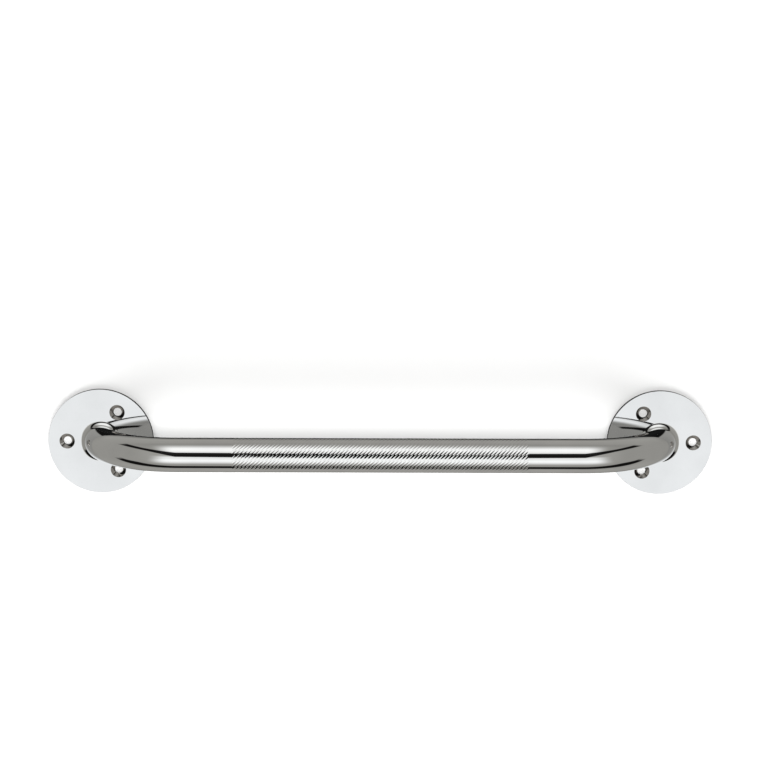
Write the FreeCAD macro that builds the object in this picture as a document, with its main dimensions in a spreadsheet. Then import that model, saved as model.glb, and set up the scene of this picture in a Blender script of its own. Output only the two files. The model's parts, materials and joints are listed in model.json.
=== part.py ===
import FreeCAD, Part
import math
import os
import Sketcher

# A bent-tube grab rail: one tube with a knurled grip, bent down at both ends
# into two flat round flanges, and a weld on each side of each flange.
#
# Frame: X runs along the grip, Z points away from the mounting surface, and the
# origin is on that surface, midway between the two flanges. Millimetres.

DIMENSIONS = {
    "centre_distance": 406.4,     # between the flange centres, 16 inches
    "hand_clearance": 38.1,       # from the mounting surface to the tube, 1.5 inches
    "tube_diameter": 24.0,
    "tube_wall": 1.5,
    "bend_radius": 63.5,          # of the tube's centreline, 2.5 inches
    "tube_end_height": 1.4,       # of the cut ends above the mounting surface
    "flange_diameter": 76.2,      # 3 inches
    "flange_thickness": 3.2,      # 1/8 inch plate
    "edge_round": 0.3,            # round the flange's face
    "screw_circle": 49.0,
    "screw_hole": 6.0,
    "countersink": 11.0,          # mouth of the 90 degree countersink
    "front_weld_reach": 2.8,      # of the dressed weld along the flange's face
    "front_weld_rise": 1.6,       # and up the tube
    "back_weld_mouth": 11.6,      # inside radius of the back weld at the mounting surface
    "back_weld_throat": 11.0,     # and at the tube's cut end
}
SCREWS_PER_FLANGE = 3
CUT_MARGIN = 1.0                  # how far a cutting shape runs past what it cuts
LEVEL_TOLERANCE = 1e-4            # for telling whether an edge lies level

TUBE_LEVEL = "(Sizes.hand_clearance + Sizes.tube_diameter / 2)"
FLANGE_RADIUS = "Sizes.flange_diameter / 2"
SCREW_AXIS = "Sizes.screw_circle / 2"
HALF_CENTRES = "Sizes.centre_distance / 2"


def rise(level):
    """Height of a level above the bend's centre."""
    return f"({level} - {TUBE_LEVEL} + Sizes.bend_radius)"


def reach(level):
    """Distance outward from the bend's centre to the tube's centreline at a level."""
    return f"sqrt(pow(Sizes.bend_radius; 2) - pow({rise(level)}; 2))"


# The centreline crosses each flange's face at the flange's centre.
BEND_CENTRE = f"({HALF_CENTRES} - {reach('Sizes.flange_thickness')})"


def make_sheet(doc):
    sheet = doc.addObject("Spreadsheet::Sheet", "Sizes")
    for row, (alias, value) in enumerate(DIMENSIONS.items(), start=1):
        sheet.set(f"A{row}", alias)
        sheet.set(f"B{row}", str(value))
        sheet.setAlias(f"B{row}", alias)
    doc.recompute()
    return sheet


def origin_feature(body, role):
    return next(item for item in body.Origin.OriginFeatures if item.Role == role)


def new_sketch(body, plane, name):
    sketch = body.newObject("Sketcher::SketchObject", name)
    sketch.AttachmentSupport = [(origin_feature(body, plane), "")]
    sketch.MapMode = "FlatFace"
    return sketch


def pin_point(sketch, geometry, end, across, up):
    """Holds one point of a sketch at two distances from the sketch's origin."""
    place = sketch.getPoint(geometry, end)
    for kind, now, expression in (("DistanceX", place.x, across), ("DistanceY", place.y, up)):
        index = sketch.addConstraint(Sketcher.Constraint(kind, -1, 1, geometry, end, now))
        sketch.setExpression(f"Constraints[{index}]", expression)


def add_outline(sketch, corners):
    """Draws a closed outline of straight edges through corners given as expressions."""
    start = FreeCAD.Vector(1, 0, 0)
    step = 360.0 / len(corners)
    turns = [FreeCAD.Rotation(FreeCAD.Vector(0, 0, 1), step * i) for i in range(len(corners))]
    points = [turn.multVec(start) for turn in turns]
    first = None
    for i, point in enumerate(points):
        edge = Part.LineSegment(point, points[(i + 1) % len(points)])
        index = sketch.addGeometry(edge, False)
        first = index if first is None else first
    count = len(corners)
    for i, (across, up) in enumerate(corners):
        following = first + (i + 1) % count
        sketch.addConstraint(Sketcher.Constraint("Coincident", first + i, 2, following, 1))
        pin_point(sketch, first + i, 1, across, up)


def add_circle(sketch, across, up, radius):
    circle = Part.Circle(FreeCAD.Vector(0, 0, 0), FreeCAD.Vector(0, 0, 1), 1.0)
    index = sketch.addGeometry(circle, False)
    pin_point(sketch, index, 3, across, up)
    size = sketch.addConstraint(Sketcher.Constraint("Radius", index, 1.0))
    sketch.setExpression(f"Constraints[{size}]", radius)


def add_upright_axis(sketch, across):
    """Adds a construction line parallel to Z, for turning a shape round a screw's axis."""
    line = Part.LineSegment(FreeCAD.Vector(0, 0, 0), FreeCAD.Vector(0, 1, 0))
    index = sketch.addGeometry(line, True)
    pin_point(sketch, index, 1, across, "0")
    pin_point(sketch, index, 2, across, "Sizes.flange_thickness")


def add_centreline(sketch):
    """Draws half the tube's route: from its middle to the bend, and a quarter turn down."""
    radius = DIMENSIONS["bend_radius"]
    corner = FreeCAD.Vector(-2 * radius, 0, 0)
    top = corner + FreeCAD.Vector(0, radius, 0)
    middle = FreeCAD.Vector(0, radius, 0)
    straight = sketch.addGeometry(Part.LineSegment(middle, top), False)
    circle = Part.Circle(corner, FreeCAD.Vector(0, 0, 1), radius)
    bend = sketch.addGeometry(Part.ArcOfCircle(circle, math.pi / 2, math.pi), False)
    bend_level = f"{TUBE_LEVEL} - Sizes.bend_radius"
    sketch.addConstraint(Sketcher.Constraint("Coincident", straight, 2, bend, 1))
    pin_point(sketch, straight, 1, "0", TUBE_LEVEL)
    pin_point(sketch, straight, 2, f"-{BEND_CENTRE}", TUBE_LEVEL)
    pin_point(sketch, bend, 3, f"-{BEND_CENTRE}", bend_level)
    far_end = sketch.addConstraint(Sketcher.Constraint("DistanceY", -1, 1, bend, 2, 0.0))
    sketch.setExpression(f"Constraints[{far_end}]", bend_level)


def bent_bar(doc, name, radii):
    """Sweeps circles of the given radii along the tube's route, and mirrors it."""
    body = doc.addObject("PartDesign::Body", name)
    body.Label = name
    route = new_sketch(body, "XZ_Plane", f"{name}_route")
    add_centreline(route)
    section = new_sketch(body, "YZ_Plane", f"{name}_section")
    for radius in radii:
        add_circle(section, "0", TUBE_LEVEL, radius)
    doc.recompute()
    pipe = body.newObject("PartDesign::AdditivePipe", f"{name}_half")
    pipe.Profile = section
    pipe.Spine = (route, ["Edge1", "Edge2"])
    doc.recompute()
    whole = body.newObject("PartDesign::Mirrored", f"{name}_whole")
    whole.Originals = [pipe]
    whole.MirrorPlane = (origin_feature(body, "YZ_Plane"), [""])
    body.Tip = whole
    doc.recompute()
    return body


def add_rail_outline(sketch):
    """Draws a rectangle round the whole tube, seen from above."""
    far_x = f"({HALF_CENTRES} + Sizes.tube_diameter)"
    far_y = "Sizes.tube_diameter"
    corners = [
        (f"-{far_x}", f"-{far_y}"),
        (far_x, f"-{far_y}"),
        (far_x, far_y),
        (f"-{far_x}", far_y),
    ]
    add_outline(sketch, corners)


def grip_tube(doc):
    """The tube, hollow, with both ends cut parallel to the mounting surface."""
    outside = "Sizes.tube_diameter / 2"
    inside = "Sizes.tube_diameter / 2 - Sizes.tube_wall"
    body = bent_bar(doc, "grip_tube", [outside, inside])
    trim = new_sketch(body, "XY_Plane", "grip_tube_end_trim")
    trim.setExpression(".AttachmentOffset.Base.z", "Sizes.tube_end_height")
    add_rail_outline(trim)
    doc.recompute()
    uncut_volume = body.Shape.Volume
    ends = body.newObject("PartDesign::Pocket", "grip_tube_ends")
    ends.Profile = trim
    ends.setExpression("Length", "Sizes.bend_radius")
    doc.recompute()
    if not body.Shape.Volume < uncut_volume:
        raise RuntimeError("the end trim cuts nothing off the tube")
    return body


def turned_feature(body, kind, name, corners, axis, sketch_edit=None):
    """A closed outline in the XZ plane, turned once round an axis of its sketch."""
    sketch = new_sketch(body, "XZ_Plane", f"{name}_outline")
    if sketch_edit is not None:
        sketch_edit(sketch)
    add_outline(sketch, corners)
    body.Document.recompute()
    feature = body.newObject(kind, name)
    feature.Profile = sketch
    feature.ReferenceAxis = (sketch, [axis])
    feature.Angle = 360
    body.Document.recompute()
    return feature


def patterned(body, feature, name):
    """Repeats a feature round the flange, once for each screw."""
    pattern = body.newObject("PartDesign::PolarPattern", name)
    pattern.Originals = [feature]
    pattern.Axis = (origin_feature(body, "Z_Axis"), [""])
    pattern.Angle = 360
    pattern.Occurrences = SCREWS_PER_FLANGE
    body.Tip = pattern
    body.Document.recompute()


def edges_at(body, height, wanted):
    """Names of the wanted edges among those that lie level at this height."""
    names = []
    for number, edge in enumerate(body.Shape.Edges, start=1):
        box = edge.BoundBox
        level = abs(box.ZMin - height) < LEVEL_TOLERANCE
        level = level and abs(box.ZMax - height) < LEVEL_TOLERANCE
        if level and wanted(edge):
            names.append(f"Edge{number}")
    return names


def rounded(body, name, edges, size):
    base = body.Tip
    fillet = body.newObject("PartDesign::Fillet", name)
    fillet.Base = (base, edges)
    fillet.setExpression("Radius", size)
    body.Document.recompute()


def flange_plate(doc, name):
    """A flat disc with countersunk screw holes, before the tube's hole is cut."""
    body = doc.addObject("PartDesign::Body", f"{name}_plate")
    body.Label = f"{name}_plate"
    disc = [
        ("0", "0"),
        (FLANGE_RADIUS, "0"),
        (FLANGE_RADIUS, "Sizes.flange_thickness"),
        ("0", "Sizes.flange_thickness"),
    ]
    turned_feature(body, "PartDesign::Revolution", f"{name}_disc", disc, "V_Axis")
    face_height = DIMENSIONS["flange_thickness"]
    face_edge = edges_at(body, face_height, lambda edge: isinstance(edge.Curve, Part.Circle))
    rounded(body, f"{name}_edge", face_edge, "Sizes.edge_round")

    def screw_axis(sketch):
        add_upright_axis(sketch, SCREW_AXIS)

    solid_volume = body.Shape.Volume
    cone_depth = "(Sizes.countersink - Sizes.screw_hole) / 2"
    hole_edge = f"{SCREW_AXIS} + Sizes.screw_hole / 2"
    mouth_edge = f"{SCREW_AXIS} + Sizes.countersink / 2"
    above = f"Sizes.flange_thickness + {CUT_MARGIN}"
    hole = [
        (SCREW_AXIS, "0"),
        (hole_edge, "0"),
        (hole_edge, f"Sizes.flange_thickness - {cone_depth}"),
        (mouth_edge, "Sizes.flange_thickness"),
        (mouth_edge, above),
        (SCREW_AXIS, above),
    ]
    bored = turned_feature(
        body, "PartDesign::Groove", f"{name}_screw_hole", hole, "Axis0", screw_axis
    )
    patterned(body, bored, f"{name}_screw_holes")
    if not body.Shape.Volume < solid_volume:
        raise RuntimeError("the screw holes cut nothing")
    return body


def cut(doc, name, base, tool):
    result = doc.addObject("Part::Cut", name)
    result.Label = name
    result.Base = base
    result.Tool = tool
    return result


def flange(doc, name, side, envelope):
    """A flange with its lone screw hole outward, cut out to fit the leaning tube."""
    plate = flange_plate(doc, name)
    facing = 0 if side > 0 else 180
    plate.Placement.Rotation = FreeCAD.Rotation(FreeCAD.Vector(0, 0, 1), facing)
    plate.setExpression(".Placement.Base.x", f"{side} * {HALF_CENTRES}")
    return cut(doc, name, plate, envelope)


def block(doc, name, across, level, height):
    """A block as wide as the rail's end, from a level up, centred across a place in X."""
    box = doc.addObject("Part::Box", name)
    size = "(3 * Sizes.tube_diameter)"
    box.setExpression("Length", size)
    box.setExpression("Width", size)
    box.setExpression("Height", height)
    box.setExpression(".Placement.Base.x", f"{across} - {size} / 2")
    box.setExpression(".Placement.Base.y", f"-{size} / 2")
    box.setExpression(".Placement.Base.z", level)
    return box


def bevelled_form(doc):
    """The tube's envelope standing in a slab, with a bevel of weld round its left end."""
    body = bent_bar(doc, "weld_form", ["Sizes.tube_diameter / 2"])
    outline = new_sketch(body, "XY_Plane", "weld_form_outline")
    add_rail_outline(outline)
    doc.recompute()
    slab = body.newObject("PartDesign::Pad", "weld_form_slab")
    slab.Profile = outline
    slab.setExpression("Length", "Sizes.flange_thickness")
    doc.recompute()

    def left_corner(edge):
        return not isinstance(edge.Curve, Part.Line) and edge.CenterOfMass.x < 0

    corner = edges_at(body, DIMENSIONS["flange_thickness"], left_corner)
    base = body.Tip
    bevel = body.newObject("PartDesign::Chamfer", "weld_form_bevel")
    bevel.Base = (base, corner)
    bevel.ChamferType = "Two distances"
    bevel.setExpression("Size", "Sizes.front_weld_reach")
    bevel.setExpression("Size2", "Sizes.front_weld_rise")
    doc.recompute()
    return body


def left_front_weld(doc, envelope):
    """The dressed ring of weld between the left flange's face and the tube."""
    above = block(
        doc, "left_front_weld_block", f"-{HALF_CENTRES}",
        "Sizes.flange_thickness", "Sizes.tube_diameter",
    )
    end = doc.addObject("Part::Common", "left_front_weld_end")
    end.Base = bevelled_form(doc)
    end.Tool = above
    return cut(doc, "left_front_weld", end, envelope)


def right_front_weld(doc, left):
    mirrored = doc.addObject("Part::Mirroring", "right_front_weld")
    mirrored.Label = "right_front_weld"
    mirrored.Source = left
    mirrored.Normal = (1, 0, 0)
    return mirrored


def back_weld(doc, name, side, envelope):
    """The weld inside the flange's hole, under the tube's cut end."""
    below = block(
        doc, f"{name}_block", f"{side} * {HALF_CENTRES}", "0", "Sizes.tube_end_height"
    )
    plug = doc.addObject("Part::Common", f"{name}_plug")
    plug.Base = envelope
    plug.Tool = below
    hollow = doc.addObject("Part::Cone", f"{name}_hollow")
    hollow.setExpression("Radius1", "Sizes.back_weld_mouth")
    hollow.setExpression("Radius2", "Sizes.back_weld_throat")
    hollow.setExpression("Height", "Sizes.tube_end_height")
    centre = f"{side} * ({BEND_CENTRE} + {reach('Sizes.tube_end_height')})"
    hollow.setExpression(".Placement.Base.x", centre)
    return cut(doc, name, plug, hollow)


def check(doc, pieces):
    for item in doc.Objects:
        if "Invalid" in item.State or "Error" in item.State:
            raise RuntimeError(f"{item.Label} has the state {item.State}")
    for piece in pieces:
        if piece.Shape.isNull() or not piece.Shape.isValid():
            raise RuntimeError(f"{piece.Label} has no valid shape")


def main():
    doc = FreeCAD.newDocument("grab_rail")
    make_sheet(doc)
    envelope = bent_bar(doc, "tube_envelope", ["Sizes.tube_diameter / 2"])
    pieces = [grip_tube(doc)]
    for word, side in (("left", -1), ("right", 1)):
        pieces.append(flange(doc, f"{word}_flange", side, envelope))
        pieces.append(back_weld(doc, f"{word}_back_weld", side, envelope))
    left_weld = left_front_weld(doc, envelope)
    pieces += [left_weld, right_front_weld(doc, left_weld)]
    doc.recompute()
    check(doc, pieces)
    os.makedirs("parts", exist_ok=True)
    for piece in pieces:
        piece.Shape.exportStep(f"parts/{piece.Label}.step")
        box = piece.Shape.BoundBox
        print(f"{piece.Label}: {len(piece.Shape.Solids)} solid, {piece.Shape.Volume:.1f} mm3,",
              f"x {box.XMin:.2f}..{box.XMax:.2f}, y {box.YMin:.2f}..{box.YMax:.2f},",
              f"z {box.ZMin:.2f}..{box.ZMax:.2f}")


main()
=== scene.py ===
import json
import math

import bpy
from mathutils import Matrix, Vector, noise
from mathutils.geometry import tessellate_polygon


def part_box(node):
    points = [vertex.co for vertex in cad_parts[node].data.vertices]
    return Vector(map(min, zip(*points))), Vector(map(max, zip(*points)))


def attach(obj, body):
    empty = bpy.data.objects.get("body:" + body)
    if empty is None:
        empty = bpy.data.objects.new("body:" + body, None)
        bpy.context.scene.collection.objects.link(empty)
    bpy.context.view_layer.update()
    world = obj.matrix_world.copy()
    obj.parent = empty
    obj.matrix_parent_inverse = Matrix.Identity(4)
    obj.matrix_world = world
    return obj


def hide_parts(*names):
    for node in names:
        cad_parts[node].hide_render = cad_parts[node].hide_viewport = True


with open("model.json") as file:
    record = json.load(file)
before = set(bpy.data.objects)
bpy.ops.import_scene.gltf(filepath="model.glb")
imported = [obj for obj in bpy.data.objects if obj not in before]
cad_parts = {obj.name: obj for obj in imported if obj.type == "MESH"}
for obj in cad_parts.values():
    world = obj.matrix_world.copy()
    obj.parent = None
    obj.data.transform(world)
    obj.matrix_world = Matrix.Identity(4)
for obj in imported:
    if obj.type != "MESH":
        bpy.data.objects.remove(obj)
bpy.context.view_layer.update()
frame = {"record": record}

# ---------------------------------------------------------------- sizes, in metres

MOUNTS = {mount["name"]: mount for mount in frame["record"]["mounts"]}
SCREWS = MOUNTS["right_screws"]
HALF_CENTRES = SCREWS["pos_m"][0]
SCREW_RING = SCREWS["dims"]["pcd_mm"] / 2000
HOLE = SCREWS["dims"]["hole_r_mm"] / 1000
SCREW_COUNT = SCREWS["dims"]["count"]


def half_width(node):
    """Half of a CAD node's size along Y."""
    low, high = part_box(node)
    return (high.y - low.y) / 2


# Radii of the tube and the flange, and levels above the mounting surface
TUBE = half_width("grip_tube")
TUBE_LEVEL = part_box("grip_tube")[1].z - TUBE
TUBE_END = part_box("grip_tube")[0].z
FLANGE = half_width("right_flange")
FACE_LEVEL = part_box("right_flange")[1].z

BEND = 0.0635               # radius of the bent tube's centreline
TUBE_WALL = 0.0015
BORE = TUBE - TUBE_WALL
EDGE_ROUND = 0.00015        # round the flange's face
EDGE_BREAK = 0.00005        # the small bevel round the flange's back
MOUTH = 0.0055              # radius of the countersink at the face
MOUTH_ROUND = 0.0002
THROAT_LEVEL = FACE_LEVEL - (MOUTH - HOLE)
WELD_WIDE = 0.0028          # reach of the dressed weld along the flange
WELD_NARROW = 0.0019        # and at the rail's ends, where it is ground closer
WELD_SLOPES = (0.65, 0.8)   # rise for its reach inside its toe, toward -Y and toward +Y
WELD_TOES = (0.2, 1.0)      # shares of the reach that are toe, likewise
WELD_GRIND = 6              # the higher, the shorter the stretch that is ground closer
BACK_WELD_MOUTH = 0.0116    # radius of the back weld's inside at the flange's back
BACK_WELD_THROAT = 0.0110   # and at the tube's cut end
BACK_WELD_RIPPLE = 0.00022
BACK_WELD_RIPPLES = 40

KNURL_LENGTH = 0.206
KNURL_PITCH = 0.00266       # along the tube
KNURL_STARTS = 30           # grooves round the tube
KNURL_STEPS = 4             # mesh points from one groove to the next
RIGHT_GROOVE = 0.00011      # depth of the grooves that climb to the right, seen from above
LEFT_GROOVE = 0.00001
KNURL_FADE = 0.0012         # the grooves run out over this length
KNURL_WEAR = 0.3            # how far the depth wanders, as a share of it
KNURL_WEAR_SCALE = 260      # patches of wear per metre

# Mesh points round each circle, and along each rounded edge
AROUND_TUBE = 160
AROUND_BORE = 72
AROUND_RIM = 192
AROUND_HOLE = 64
AROUND_RIPPLES = 240
ROUND_STEPS = 8
MERGE_STEPS = 1e7           # per metre; points that share a step are one point

# The centre of each bend's curve, whose centreline meets the flange's face in the middle
BEND_HEIGHT = TUBE_LEVEL - BEND
BEND_CENTRE = HALF_CENTRES - math.sqrt(BEND**2 - (FACE_LEVEL - BEND_HEIGHT) ** 2)


# Brightness of the studio by angle round the rail's length, as pairs of degrees and
# brightness: 0 degrees is straight above the rail, and the angle grows toward +Y.
ROOM = (
    (-180, 0.01), (-163, 0.02), (-150, 0.2), (-135, 0.34), (-105, 0.38), (-88, 0.34),
    (-60, 0.33), (-30, 0.37), (0, 0.39), (30, 0.38), (60, 0.33), (85, 0.29), (100, 0.34),
    (132, 0.37), (148, 0.2), (160, 0.02), (180, 0.01),
)
FRONT_LIGHT = (
    (-58, 0), (-52, 0.06), (-45, 0.3), (-35, 0.68), (-25, 0.8), (-15, 0.62), (-4, 0.55), (8, 0),
)
BACK_LIGHT = (
    (10, 0), (22, 0.45), (34, 0.62), (45, 0.8), (56, 0.78), (66, 0.46), (76, 0.14), (86, 0),
)
ROOM_ENDS = 0.33                        # brightness of the room off both ends of the rail
ROOM_TINT = (1.0, 0.985, 0.93)
FRONT_TINT = (0.97, 1.0, 1.03)
BACK_TINT = (0.98, 1.0, 1.02)
BAR_NORMAL = (-0.670, 0.738, -0.083)    # of the plane that each dark bar lies in
BAR_EDGE = 0.025                        # the bars' edges fade over this much either side
BAND_EDGE = 0.03                        # and so does the dark band's top edge
DARKEST = 0.02                          # share of the light that the bars and band let by


# ---------------------------------------------------------------- mesh building

def steps(first, last, count):
    """Evenly spaced values from first to last, both included."""
    return [first + (last - first) * i / count for i in range(count + 1)]


class Skin:
    """A mesh whose face corners carry their surface's true normal.

    Points that coincide are merged, so patches that meet share their border.
    """

    def __init__(self):
        self.points = []
        self.numbers = {}
        self.faces = []
        self.normals = []

    def number(self, place):
        key = tuple(round(value * MERGE_STEPS) for value in place)
        if key not in self.numbers:
            self.numbers[key] = len(self.points)
            self.points.append(tuple(place))
        return self.numbers[key]

    def face(self, corners):
        """corners is a list of (place, normal); a corner that repeats is left out.

        The corners are put in the order that makes the face look along its normals.
        """
        ring = []
        for place, normal in corners:
            number = self.number(place)
            if number not in [known for known, _, _ in ring]:
                ring.append((number, place, normal))
        if len(ring) < 3:
            return
        a, b, c = [place for _, place, _ in ring[:3]]
        facing = ring[0][2] + ring[1][2] + ring[2][2]
        if (b - a).cross(c - a).dot(facing) < 0:
            ring.reverse()
        self.faces.append([number for number, _, _ in ring])
        self.normals.extend(tuple(normal) for _, _, normal in ring)

    def patch(self, corner, us, vs):
        """A grid of faces. corner(u, v) gives (place, normal)."""
        rows = [[corner(u, v) for v in vs] for u in us]
        for low, high in zip(rows, rows[1:]):
            for i in range(len(vs) - 1):
                self.face([low[i], high[i], high[i + 1], low[i + 1]])

    def flat(self, loops, normal):
        """A flat face with holes. The first loop is the outline."""
        places = [place for loop in loops for place in loop]
        for triangle in tessellate_polygon(loops):
            self.face([(places[i], normal) for i in triangle])

    def piece(self, name, material, slot, *replaced):
        mesh = bpy.data.meshes.new(name)
        mesh.from_pydata(self.points, [], self.faces)
        mesh.polygons.foreach_set("use_smooth", [True] * len(mesh.polygons))
        mesh.normals_split_custom_set(self.normals)
        mesh.materials.append(material)
        mesh.update()
        item = bpy.data.objects.new(name, mesh)
        bpy.context.scene.collection.objects.link(item)
        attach(item, "root")
        if replaced:
            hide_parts(*replaced)


# ---------------------------------------------------------------- the tube

def bend_end(radius, turn, level):
    """Angle in the bend, from level, at which the tube's wall reaches a height."""
    reach = BEND + radius * math.cos(turn)
    return math.asin((level - BEND_HEIGHT) / reach)


def bend_corner(side, radius, turn, lift):
    """A point of the tube's wall in a bend, and its normal.

    turn goes round the tube from its outer line, and lift is the angle in the bend.
    """
    out = Vector((side * math.cos(lift), 0, math.sin(lift)))
    centre = Vector((side * BEND_CENTRE, 0, BEND_HEIGHT))
    normal = out * math.cos(turn) + Vector((0, math.sin(turn), 0))
    return centre + out * BEND + normal * radius, normal


def tube_ring(side, radius, level, count):
    """The curve in which the tube's wall meets a level plane, near a flange."""
    ring = []
    for turn in steps(0, math.tau, count)[:-1]:
        lift = bend_end(radius, turn, level)
        ring.append(bend_corner(side, radius, turn, lift)[0])
    return ring


def straight_corner(radius, x, turn):
    normal = Vector((0, math.sin(turn), math.cos(turn)))
    return Vector((x, 0, TUBE_LEVEL)) + normal * radius, normal


def add_tube_wall(skin, side, radius, stop, around, bend_steps, straight_steps, facing=1):
    """One end of the tube's wall, or of its bore: from the cut end to x = stop.

    facing is 1 where the wall looks outward and -1 where it looks inward.
    """
    def bent(turn, share):
        low = bend_end(radius, turn, TUBE_END)
        place, normal = bend_corner(side, radius, turn, low + (math.pi / 2 - low) * share)
        return place, normal * facing

    def level(turn, x):
        place, normal = straight_corner(radius, x, turn)
        return place, normal * facing

    turns = steps(0, math.tau, around)
    skin.patch(bent, turns, steps(0, 1, bend_steps))
    skin.patch(level, turns, steps(side * BEND_CENTRE, stop, straight_steps))


def add_tube_end(skin, side):
    """The cut face between the tube's wall and its bore."""
    down = Vector((0, 0, -1))
    loops = [tube_ring(side, TUBE, TUBE_END, AROUND_TUBE)]
    loops.append(tube_ring(side, BORE, TUBE_END, AROUND_BORE))
    skin.flat(loops, down)


def make_polished_tube(material):
    skin = Skin()
    for side in (-1, 1):
        knurl_end = side * KNURL_LENGTH / 2
        add_tube_wall(skin, side, TUBE, knurl_end, AROUND_TUBE, bend_steps=72, straight_steps=6)
        add_tube_wall(skin, side, BORE, 0, AROUND_BORE, bend_steps=32, straight_steps=2, facing=-1)
        add_tube_end(skin, side)
    skin.piece("grip_tube_polished", material, "tube_chrome", "grip_tube")


def knurl_depth(x, turn):
    """Depth of the knurl below the crests."""
    count = KNURL_STARTS * turn / math.tau
    along = x / KNURL_PITCH
    right = 0.5 - 0.5 * math.cos(math.tau * (count - along))
    left = 0.5 - 0.5 * math.cos(math.tau * (count + along))
    place = Vector((x, TUBE * math.sin(turn), TUBE * math.cos(turn)))
    wear = 1 + KNURL_WEAR * noise.noise(place * KNURL_WEAR_SCALE)
    edge = min(1, (KNURL_LENGTH / 2 - abs(x)) / KNURL_FADE)
    return (right * RIGHT_GROOVE + left * LEFT_GROOVE) * wear * edge


def knurl_corner(x, turn):
    """A point of the knurl, and its normal from how the depth changes nearby."""
    tiny = 2e-5
    depth = knurl_depth(x, turn)
    slope_x = (knurl_depth(x + tiny, turn) - knurl_depth(x - tiny, turn)) / (2 * tiny)
    swing = tiny / TUBE
    rise = knurl_depth(x, turn + swing) - knurl_depth(x, turn - swing)
    slope_round = rise / (2 * tiny)
    place, out = straight_corner(TUBE - depth, x, turn)
    around = Vector((0, math.cos(turn), -math.sin(turn)))
    normal = out + Vector((1, 0, 0)) * slope_x + around * slope_round
    return place, normal.normalized()


def make_knurl(material):
    """The knurled band, meshed on the lattice of its own grooves."""
    skin = Skin()
    row_gap = KNURL_PITCH / (2 * KNURL_STEPS)
    rows = 2 * round(KNURL_LENGTH / row_gap / 2)
    columns = KNURL_STARTS * KNURL_STEPS
    stretch = KNURL_LENGTH / (rows * row_gap)
    lattice = []
    for row in range(rows + 1):
        x = (row - rows / 2) * row_gap * stretch
        shift = 0.5 * (row % 2)
        turns = [math.tau * (column + shift) / columns for column in range(columns)]
        lattice.append([knurl_corner(x, turn) for turn in turns])
    for row in range(rows):
        low, high = lattice[row], lattice[row + 1]
        for column in range(columns):
            ahead = (column + 1) % columns
            if row % 2 == 0:
                skin.face([low[column], low[ahead], high[column]])
                skin.face([low[ahead], high[ahead], high[column]])
            else:
                skin.face([low[column], low[ahead], high[ahead]])
                skin.face([low[column], high[ahead], high[column]])
    skin.piece("grip_tube_knurl", material, "tube_chrome", "grip_tube")


# ---------------------------------------------------------------- the flanges

def placed(side, place):
    """From a flange's own axes, with its lone screw hole at +X, to the rail's."""
    return Vector((side * (place.x + HALF_CENTRES), side * place.y, place.z))


def turned(skin, side, centre, profile, around):
    """Turns a profile of (radius, height, normal out, normal up) round an upright axis."""
    def corner(row, turn):
        radius, height, out, up = row
        arm = Vector((math.cos(turn), math.sin(turn), 0))
        normal = (arm * out + Vector((0, 0, up))).normalized()
        place = centre + arm * radius + Vector((0, 0, height))
        return placed(side, place), Vector((side * normal.x, side * normal.y, normal.z))

    turns = steps(0, math.tau, around)
    for low, high in zip(profile, profile[1:]):
        if (low[0], low[1]) != (high[0], high[1]):
            skin.patch(corner, [low, high], turns)


def circle(side, centre, radius, height, around):
    """Points of a level circle on a flange."""
    turns = steps(0, math.tau, around)[:-1]
    arms = [Vector((math.cos(turn), math.sin(turn), 0)) * radius for turn in turns]
    return [placed(side, centre + arm + Vector((0, 0, height))) for arm in arms]


def rounded(centre, height, radius, first, last):
    """Profile rows along a rounded edge, from one angle to another in degrees."""
    rows = []
    for angle in steps(math.radians(first), math.radians(last), ROUND_STEPS):
        out, up = math.cos(angle), math.sin(angle)
        rows.append((centre + radius * out, height + radius * up, out, up))
    return rows


def rim_profile():
    """From the edge of the flat face over the rim and down to the flange's back."""
    slant = math.sqrt(0.5)
    rows = rounded(FLANGE - EDGE_ROUND, FACE_LEVEL - EDGE_ROUND, EDGE_ROUND, 90, 0)
    rows += [
        (FLANGE, EDGE_BREAK, 1, 0),
        (FLANGE, EDGE_BREAK, slant, -slant),
        (FLANGE - EDGE_BREAK, 0, slant, -slant),
    ]
    return rows


def hole_profile():
    """From the flat face down the countersink and through to the flange's back."""
    slant = math.sqrt(0.5)
    edge = MOUTH + MOUTH_ROUND * math.tan(math.radians(22.5))
    rows = rounded(edge, FACE_LEVEL - MOUTH_ROUND, MOUTH_ROUND, 90, 135)
    rows += [
        (HOLE, THROAT_LEVEL, -slant, slant),
        (HOLE, THROAT_LEVEL, -1, 0),
        (HOLE, 0, -1, 0),
    ]
    return rows


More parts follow.
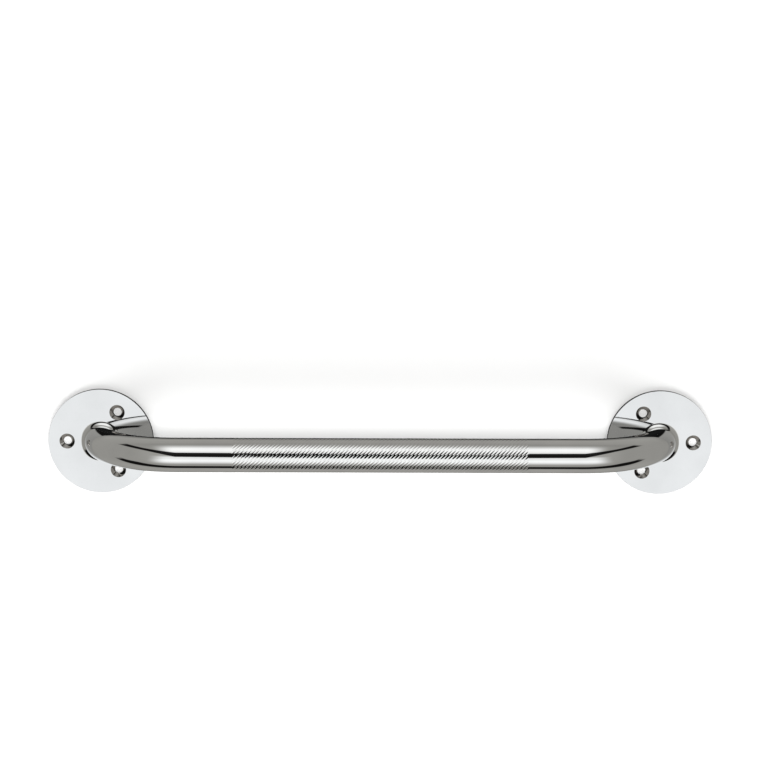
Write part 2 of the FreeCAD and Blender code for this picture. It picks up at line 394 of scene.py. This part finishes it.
def make_flange(name, side, material, countersink_dull_and_shade):
    """The plate, with holes for the screws and the tube, and the walls of its screw holes."""
    skin = Skin()
    sinks = Skin()
    middle = Vector((0, 0, 0))
    rim = rim_profile()
    hole = hole_profile()
    turned(skin, side, middle, rim, AROUND_RIM)
    face = [circle(side, middle, rim[0][0], FACE_LEVEL, AROUND_RIM)]
    back = [circle(side, middle, rim[-1][0], 0, AROUND_RIM)]
    for number in range(SCREW_COUNT):
        angle = math.tau * number / SCREW_COUNT
        centre = Vector((math.cos(angle), math.sin(angle), 0)) * SCREW_RING
        turned(sinks, side, centre, hole, AROUND_HOLE)
        face.append(circle(side, centre, hole[0][0], FACE_LEVEL, AROUND_HOLE))
        back.append(circle(side, centre, hole[-1][0], 0, AROUND_HOLE))
    face.append(tube_ring(side, TUBE, FACE_LEVEL, AROUND_TUBE))
    back.append(tube_ring(side, TUBE, 0, AROUND_TUBE))
    skin.flat(face, Vector((0, 0, 1)))
    skin.flat(back, Vector((0, 0, -1)))

    def hole_wall(turn, level):
        place, normal = bend_corner(side, TUBE, turn, bend_end(TUBE, turn, level))
        return place, -normal

    skin.patch(hole_wall, steps(0, math.tau, AROUND_TUBE), [0, FACE_LEVEL])
    skin.piece(name + "_plate", material, "flange_chrome", name)
    # The countersinks take the darker chrome, whose colour is partly painted shade.
    sinks.piece(name + "_countersinks", countersink_dull_and_shade, "flange_chrome", name)


# ---------------------------------------------------------------- the welds

def weld_reach(turn):
    """The weld is narrower at the outer line of the bend."""
    return WELD_WIDE - (WELD_WIDE - WELD_NARROW) * max(0, math.cos(turn)) ** WELD_GRIND


def weld_blend(turn, ends):
    """Between a value toward -Y and one toward +Y."""
    low, high = ends
    return low + (high - low) * (0.5 + 0.5 * math.sin(turn))


def weld_height(turn, share):
    """Height of the dressed weld over the flange; share runs from the tube to its edge."""
    reach = weld_reach(turn)
    inward = reach * (1 - share)
    toe = reach * weld_blend(turn, WELD_TOES)
    slope = weld_blend(turn, WELD_SLOPES)
    if inward < toe:
        return slope * inward**2 / (2 * toe)
    return slope * (inward - toe / 2)


def make_front_weld(name, side, material):
    """A shallow dressed ring of weld between the flange and the tube."""
    skin = Skin()
    tiny = 1e-3

    def place(turn, share):
        radius = TUBE + weld_reach(turn) * share
        level = FACE_LEVEL + weld_height(turn, share)
        return bend_corner(side, radius, turn, bend_end(radius, turn, level))[0]

    def slope(turn, share):
        along = place(turn + tiny, share) - place(turn - tiny, share)
        inward = place(turn, share) - place(turn, share + tiny)
        normal = along.cross(inward).normalized()
        return place(turn, share), normal if normal.z > 0 else -normal

    def on_flange(turn, share):
        lift = bend_end(TUBE, turn, FACE_LEVEL)
        inner, _ = bend_corner(side, TUBE, turn, lift)
        return inner.lerp(place(turn, 1), share), Vector((0, 0, -1))

    def on_tube(turn, share):
        level = FACE_LEVEL + weld_height(turn, 0) * share
        wall, normal = bend_corner(side, TUBE, turn, bend_end(TUBE, turn, level))
        return wall, -normal

    turns = steps(0, math.tau, AROUND_TUBE)
    skin.patch(slope, turns, steps(0, 1, 16))
    skin.patch(on_tube, turns, [0, 1])
    skin.patch(on_flange, turns, [0, 1])
    skin.piece(name + "_ring", material, "weld_chrome", name)


def make_back_weld(name, side, material):
    """A rippled ring of weld in the flange's hole, under the tube's cut end."""
    skin = Skin()
    middle = side * (BEND_CENTRE + math.sqrt(BEND**2 - (TUBE_END - BEND_HEIGHT) ** 2))
    slope = BACK_WELD_MOUTH - BACK_WELD_THROAT

    def inside(turn, share):
        wave = 0.5 + 0.5 * math.cos(turn * BACK_WELD_RIPPLES)
        ripple = BACK_WELD_RIPPLE * math.sin(math.pi * share) * wave
        radius = BACK_WELD_MOUTH - slope * share + ripple
        arm = Vector((side * math.cos(turn), math.sin(turn), 0))
        place = Vector((middle, 0, TUBE_END * share)) + arm * radius
        return place, (Vector((0, 0, -slope)) - arm * TUBE_END).normalized()

    def outside(turn, level):
        return bend_corner(side, TUBE, turn, bend_end(TUBE, turn, level))

    def level_face(turn, share, level, normal):
        inner = inside(turn, level / TUBE_END)[0]
        outer = outside(turn, level)[0]
        return inner.lerp(outer, share), normal

    def top(turn, share):
        return level_face(turn, share, TUBE_END, Vector((0, 0, 1)))

    def bottom(turn, share):
        return level_face(turn, share, 0, Vector((0, 0, -1)))

    turns = steps(0, math.tau, AROUND_RIPPLES)
    skin.patch(inside, turns, steps(0, 1, 6))
    skin.patch(outside, turns, [0, TUBE_END])
    skin.patch(top, turns, [0, 1])
    skin.patch(bottom, turns, [0, 1])
    skin.piece(name + "_ring", material, "weld_chrome", name)


# ---------------------------------------------------------------- shader nodes

def node(tree, kind, *values, **settings):
    """A node whose inputs are set from values, or linked to them, in turn."""
    made = tree.nodes.new(kind)
    for name, setting in settings.items():
        setattr(made, name, setting)
    for socket, value in zip(made.inputs, values):
        if isinstance(value, bpy.types.NodeSocket):
            tree.links.new(value, socket)
        else:
            socket.default_value = value
    return made


def math_of(tree, operation, *values):
    return node(tree, "ShaderNodeMath", *values, operation=operation).outputs[0]


def vector_of(tree, operation, *values):
    made = node(tree, "ShaderNodeVectorMath", *values, operation=operation)
    return made.outputs["Value" if operation == "DOT_PRODUCT" else "Vector"]


def ranged(tree, value, low, high, smooth=True):
    """Carries a value from low..high to another range; ends are (value, result) pairs."""
    kind = "SMOOTHSTEP" if smooth else "LINEAR"
    ends = (low[0], high[0], low[1], high[1])
    made = node(tree, "ShaderNodeMapRange", value, *ends, interpolation_type=kind)
    return made.outputs["Result"]


def ramp_of(tree, value, stops):
    """A colour ramp. The stops are (position, colour) pairs in rising order."""
    ramp = node(tree, "ShaderNodeValToRGB", value)
    points = ramp.color_ramp.elements
    points.remove(points[1])
    for number, (position, colour) in enumerate(stops):
        point = points.new(position) if number else points[0]
        point.position = position
        point.color = (*colour, 1)
    return ramp.outputs["Color"]


def noise_of(tree, scale, detail):
    """Noise in the piece's own coordinates."""
    place = node(tree, "ShaderNodeTexCoord").outputs["Object"]
    made = node(tree, "ShaderNodeTexNoise")
    made.inputs["Scale"].default_value = scale
    made.inputs["Detail"].default_value = detail
    tree.links.new(place, made.inputs["Vector"])
    return made.outputs["Fac"]


# ---------------------------------------------------------------- materials

def chrome(name, colour, rough, grain, dent):
    """Plated chrome: a mirror with faint haze, wiping marks and orange peel.

    rough is the least and most roughness. grain is the orange peel's fineness, in
    dents per metre, and dent is their depth.
    """
    dullest = 0.93
    material = bpy.data.materials.new(name)
    material.use_nodes = True
    tree = material.node_tree
    shader = tree.nodes["Principled BSDF"]
    shader.inputs["Metallic"].default_value = 1.0

    haze = noise_of(tree, scale=38, detail=5)
    dull = [value * dullest for value in colour]
    tone = ramp_of(tree, haze, ((0.3, dull), (0.7, colour)))
    tree.links.new(tone, shader.inputs["Base Color"])
    least, most = rough
    marks = ranged(tree, haze, (0.35, least), (0.7, most), smooth=False)
    tree.links.new(marks, shader.inputs["Roughness"])

    bump = node(tree, "ShaderNodeBump")
    bump.inputs["Strength"].default_value = 1.0
    bump.inputs["Distance"].default_value = dent
    tree.links.new(noise_of(tree, scale=grain, detail=2), bump.inputs["Height"])
    tree.links.new(bump.outputs["Normal"], shader.inputs["Normal"])
    return material


# ---------------------------------------------------------------- stage, light and camera

def make_floor():
    size = 40.0
    level = -0.0002         # clear of the flanges' backs, so that the two don't flicker
    mesh = bpy.data.meshes.new("floor")
    signs = ((-1, -1), (1, -1), (1, 1), (-1, 1))
    corners = [(x * size, y * size, level) for x, y in signs]
    mesh.from_pydata(corners, [], [(0, 1, 2, 3)])
    material = bpy.data.materials.new("floor_white")
    material.use_nodes = True
    shader = material.node_tree.nodes["Principled BSDF"]
    shader.inputs["Base Color"].default_value = (0.6, 0.6, 0.6, 1)
    shader.inputs["Roughness"].default_value = 1.0
    shader.inputs["Specular IOR Level"].default_value = 0.0
    mesh.materials.append(material)
    floor = bpy.data.objects.new("floor", mesh)
    bpy.context.scene.collection.objects.link(floor)
    floor.visible_glossy = False


def glow(tree, angle, stops):
    """Brightness by direction round the rail's length, 0 at straight up."""
    share = ranged(tree, angle, (-math.pi, 0.0), (math.pi, 1.0), smooth=False)
    shades = [((degrees + 180) / 360, (value,) * 3) for degrees, value in stops]
    return ramp_of(tree, share, shades)


def room_light(tree, angle, across):
    """The room, which is even off both ends of the rail."""
    ends = ranged(tree, across, (0.5, 0.0), (0.88, 1.0))
    middle = math_of(tree, "SUBTRACT", 1.0, ends)
    room = vector_of(tree, "MULTIPLY", glow(tree, angle, ROOM), middle)
    room = vector_of(tree, "ADD", room, math_of(tree, "MULTIPLY", ends, ROOM_ENDS))
    return vector_of(tree, "MULTIPLY", room, ROOM_TINT)


def long_light(tree, angle, across, stops, tint, full, gone):
    """A light that runs along the rail, full in the middle and gone toward the ends."""
    light = vector_of(tree, "MULTIPLY", glow(tree, angle, stops), tint)
    return vector_of(tree, "MULTIPLY", light, ranged(tree, across, (full, 1.0), (gone, 0.0)))


def dark_bars(tree, across, parts):
    """0 on two dark bars that spread from above the rail toward +Y, 1 elsewhere."""
    mirrored = node(tree, "ShaderNodeCombineXYZ", across, parts["Y"], parts["Z"])
    off = vector_of(tree, "DOT_PRODUCT", mirrored.outputs["Vector"], BAR_NORMAL)
    off = math_of(tree, "ABSOLUTE", off)
    reach = ranged(tree, across, (0.1, 0.185), (0.6, 0.085), smooth=False)
    beyond = math_of(tree, "SUBTRACT", off, reach)
    bars = ranged(tree, beyond, (-BAR_EDGE, 0.0), (BAR_EDGE, 1.0))
    below = ranged(tree, parts["Z"], (-0.08, 1.0), (0.06, 0.0))
    return math_of(tree, "MAXIMUM", bars, below)


def dark_front(tree, across, parts):
    """0 on a low dark band toward -Y that tapers off at the sides, 1 elsewhere."""
    top = ranged(tree, across, (0.62, 0.38), (0.95, 0.2))
    over = math_of(tree, "SUBTRACT", parts["Z"], top)
    over = ranged(tree, over, (-BAND_EDGE, 0.0), (BAND_EDGE, 1.0))
    under = ranged(tree, parts["Z"], (0.02, 1.0), (0.08, 0.0))
    aside = ranged(tree, across, (0.82, 0.0), (0.91, 1.0))
    behind = ranged(tree, parts["Y"], (-0.25, 0.0), (-0.1, 1.0))
    clear = math_of(tree, "MAXIMUM", over, under)
    clear = math_of(tree, "MAXIMUM", clear, aside)
    return math_of(tree, "MAXIMUM", clear, behind)


def make_world():
    """A plain room with two long soft lights, two dark bars and a low dark band."""
    world = bpy.data.worlds.new("studio")
    bpy.context.scene.world = world
    world.use_nodes = True
    tree = world.node_tree
    background = tree.nodes["Background"]
    direction = node(tree, "ShaderNodeTexCoord")
    split = node(tree, "ShaderNodeSeparateXYZ")
    tree.links.new(direction.outputs["Generated"], split.inputs["Vector"])
    parts = {name: split.outputs[name] for name in ("X", "Y", "Z")}
    angle = math_of(tree, "ARCTAN2", parts["Y"], parts["Z"])
    across = math_of(tree, "ABSOLUTE", parts["X"])

    front = long_light(tree, angle, across, FRONT_LIGHT, FRONT_TINT, full=0.28, gone=0.62)
    back = long_light(tree, angle, across, BACK_LIGHT, BACK_TINT, full=0.15, gone=0.5)
    lights = vector_of(tree, "ADD", front, back)
    lit = vector_of(tree, "ADD", room_light(tree, angle, across), lights)
    bars, band = dark_bars(tree, across, parts), dark_front(tree, across, parts)
    clear = math_of(tree, "MULTIPLY", bars, band)
    shade = ranged(tree, clear, (0, DARKEST), (1, 1.0), smooth=False)
    lit = vector_of(tree, "MULTIPLY", lit, shade)
    tree.links.new(lit, background.inputs["Color"])


def add_sun(name, toward_front, width, strength):
    """A soft light, tipped from overhead toward -Y, that shows only on the floor.

    toward_front is the tip and width how wide the light looks, both in degrees.
    """
    lamp = bpy.data.lights.new(name, "SUN")
    lamp.angle = math.radians(width)
    lamp.energy = strength
    item = bpy.data.objects.new(name, lamp)
    bpy.context.scene.collection.objects.link(item)
    item.rotation_euler = (math.radians(toward_front), 0, 0)
    item.visible_glossy = False


def make_camera():
    """Nearly square on to the mounting surface, from a little above the rail."""
    camera_height = 1.15
    camera_up = 0.2359
    tilt = math.radians(9.56)
    pan = math.radians(0.125)
    roll = math.radians(0.17)
    camera_data = bpy.data.cameras.new("camera")
    camera_data.sensor_width = 36       # millimetres, as is the lens
    camera_data.lens = 75.4
    camera = bpy.data.objects.new("camera", camera_data)
    bpy.context.scene.collection.objects.link(camera)
    camera.location = (0, camera_up, camera_height)
    turn = Matrix.Rotation(-tilt, 4, "X") @ Matrix.Rotation(-pan, 4, "Y")
    camera.matrix_world = Matrix.Translation(camera.location) @ turn
    camera.matrix_world = camera.matrix_world @ Matrix.Rotation(roll, 4, "Z")
    bpy.context.scene.camera = camera


def main():
    tube = chrome("chrome_tube", (0.86, 0.86, 0.855), rough=(0.02, 0.05), grain=900, dent=4e-7)
    plate = chrome("chrome_flange", (0.85, 0.86, 0.875), rough=(0.02, 0.05), grain=700, dent=3e-7)
    # The countersinks' chrome is rougher and darker. The rougher, duller plating is the metal's
    # own, and the darker colour is also painted shade in the holes.
    countersink_dull_and_shade = chrome("chrome_countersink_dull_and_shade", (0.6, 0.58, 0.56), rough=(0.04, 0.1), grain=1500, dent=1e-6)
    weld = chrome("chrome_weld", (0.84, 0.84, 0.83), rough=(0.02, 0.06), grain=500, dent=2e-6)
    make_polished_tube(tube)
    make_knurl(tube)
    for word, side in (("left", -1), ("right", 1)):
        make_flange(f"{word}_flange", side, plate, countersink_dull_and_shade)
        make_front_weld(f"{word}_front_weld", side, weld)
        make_back_weld(f"{word}_back_weld", side, weld)
    make_floor()
    make_world()
    add_sun("overhead_light", toward_front=-5, width=16, strength=2.5)
    add_sun("low_light", toward_front=66, width=70, strength=5.8)
    make_camera()
    bpy.context.scene.view_settings.view_transform = "Standard"


main()
